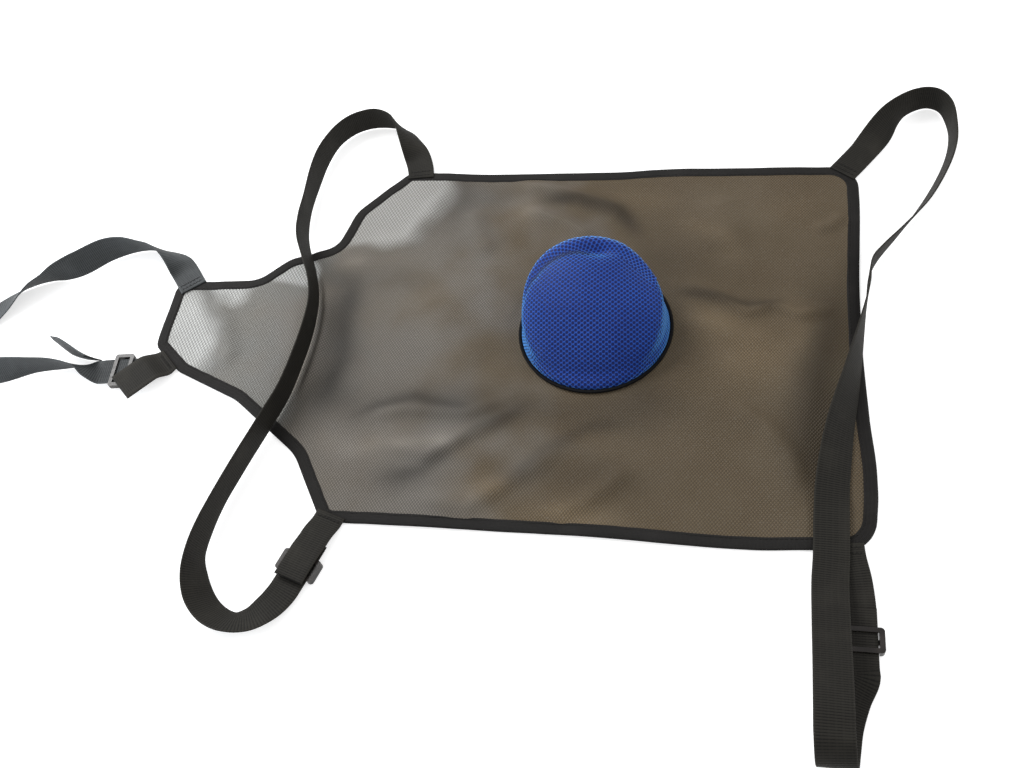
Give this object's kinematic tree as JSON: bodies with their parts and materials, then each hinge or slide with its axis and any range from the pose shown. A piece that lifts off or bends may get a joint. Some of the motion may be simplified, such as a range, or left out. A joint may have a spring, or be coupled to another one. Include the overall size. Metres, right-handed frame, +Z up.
{
  "type": "wheelchair positioning vest",
  "caption": "Flat bound mesh-cloth positioning vest with a narrow tongue, a padded pommel and adjustable webbing loops joining its opposite corners.",
  "frame": {"origin": "middle of the bound panel's underside, as it lies flat (the free webbing is left out)", "axes": "+X towards the panel's wide end, +Y towards the long edge away from the strap sliders, +Z up out of the cloth, the side the pommel stands on"},
  "size_m": [1.0757, 0.7141, 0.0758],
  "materials": {
    "mesh_cloth": "coarse textured nylon mesh, slight sheen",
    "binding_tape": "woven folded tape, matt",
    "webbing": "ribbed polypropylene webbing, matt",
    "spacer_mesh": "3D air mesh with open holes",
    "foam": "open-cell foam",
    "piping": "woven, matt",
    "thread": "polyester thread",
    "slider_plastic": "moulded, glossy"
  },
  "bodies": {
    "vest": {"fabric_panel": "mesh_cloth", "binding_tongue_end": "binding_tape", "binding_neck_upper": "binding_tape", "binding_neck_lower": "binding_tape", "binding_side_upper": "binding_tape", "binding_side_lower": "binding_tape", "binding_wide_end": "binding_tape", "pommel_cover_face": "spacer_mesh", "pommel_cover_band": "spacer_mesh", "pommel_foam": "foam", "pommel_piping": "piping", "neck_strap_root": "webbing", "neck_tab_root": "webbing", "shoulder_strap_root": "webbing", "shoulder_tab_root": "webbing", "base_strap_root": "webbing", "base_tab_root": "webbing", "base_strap_side": "webbing", "corner_stitching": "thread"},
    "neck_loop": {"neck_strap": "webbing", "neck_strap_hem": "webbing", "neck_tab": "webbing", "neck_tail": "webbing"},
    "neck_slider": {"neck_slider": "slider_plastic"},
    "shoulder_loop": {"shoulder_strap": "webbing", "shoulder_tab": "webbing"},
    "shoulder_slider": {"shoulder_slider": "slider_plastic"},
    "base_arch": {"base_strap_arch": "webbing"},
    "base_drop": {"base_strap_drop": "webbing", "base_tab": "webbing"},
    "base_slider": {"base_slider": "slider_plastic"}
  },
  "joints": [
    {"name": "neck_loop_fold", "type": "hinge", "parent": "vest", "child": "neck_loop", "pos_m": [-0.36, 0, 0.0034], "axis": [0, 1, 0], "range_deg": [0, 110]},
    {"name": "neck_slider_slide", "type": "slide", "parent": "neck_loop", "child": "neck_slider", "axis": [0.9962, 0.0872, 0], "range_m": [-0.005, 0.004]},
    {"name": "shoulder_loop_fold", "type": "hinge", "parent": "vest", "child": "shoulder_loop", "pos_m": [-0.1215, 0, 0.0034], "axis": [0, 1, 0], "range_deg": [0, 100]},
    {"name": "shoulder_slider_slide", "type": "slide", "parent": "shoulder_loop", "child": "shoulder_slider", "axis": [0.3156, 0.9489, 0], "range_m": [-0.004, 0.01]},
    {"name": "base_arch_fold", "type": "hinge", "parent": "vest", "child": "base_arch", "pos_m": [0.372, 0, 0.0034], "axis": [0, -1, 0], "range_deg": [0, 75]},
    {"name": "base_drop_fold", "type": "hinge", "parent": "vest", "child": "base_drop", "pos_m": [0, -0.226, 0.0052], "axis": [-1, 0, 0], "range_deg": [0, 110]},
    {"name": "base_slider_slide", "type": "slide", "parent": "base_drop", "child": "base_slider", "axis": [0, 1, 0], "range_m": [-0.01, 0.01]}
  ]
}
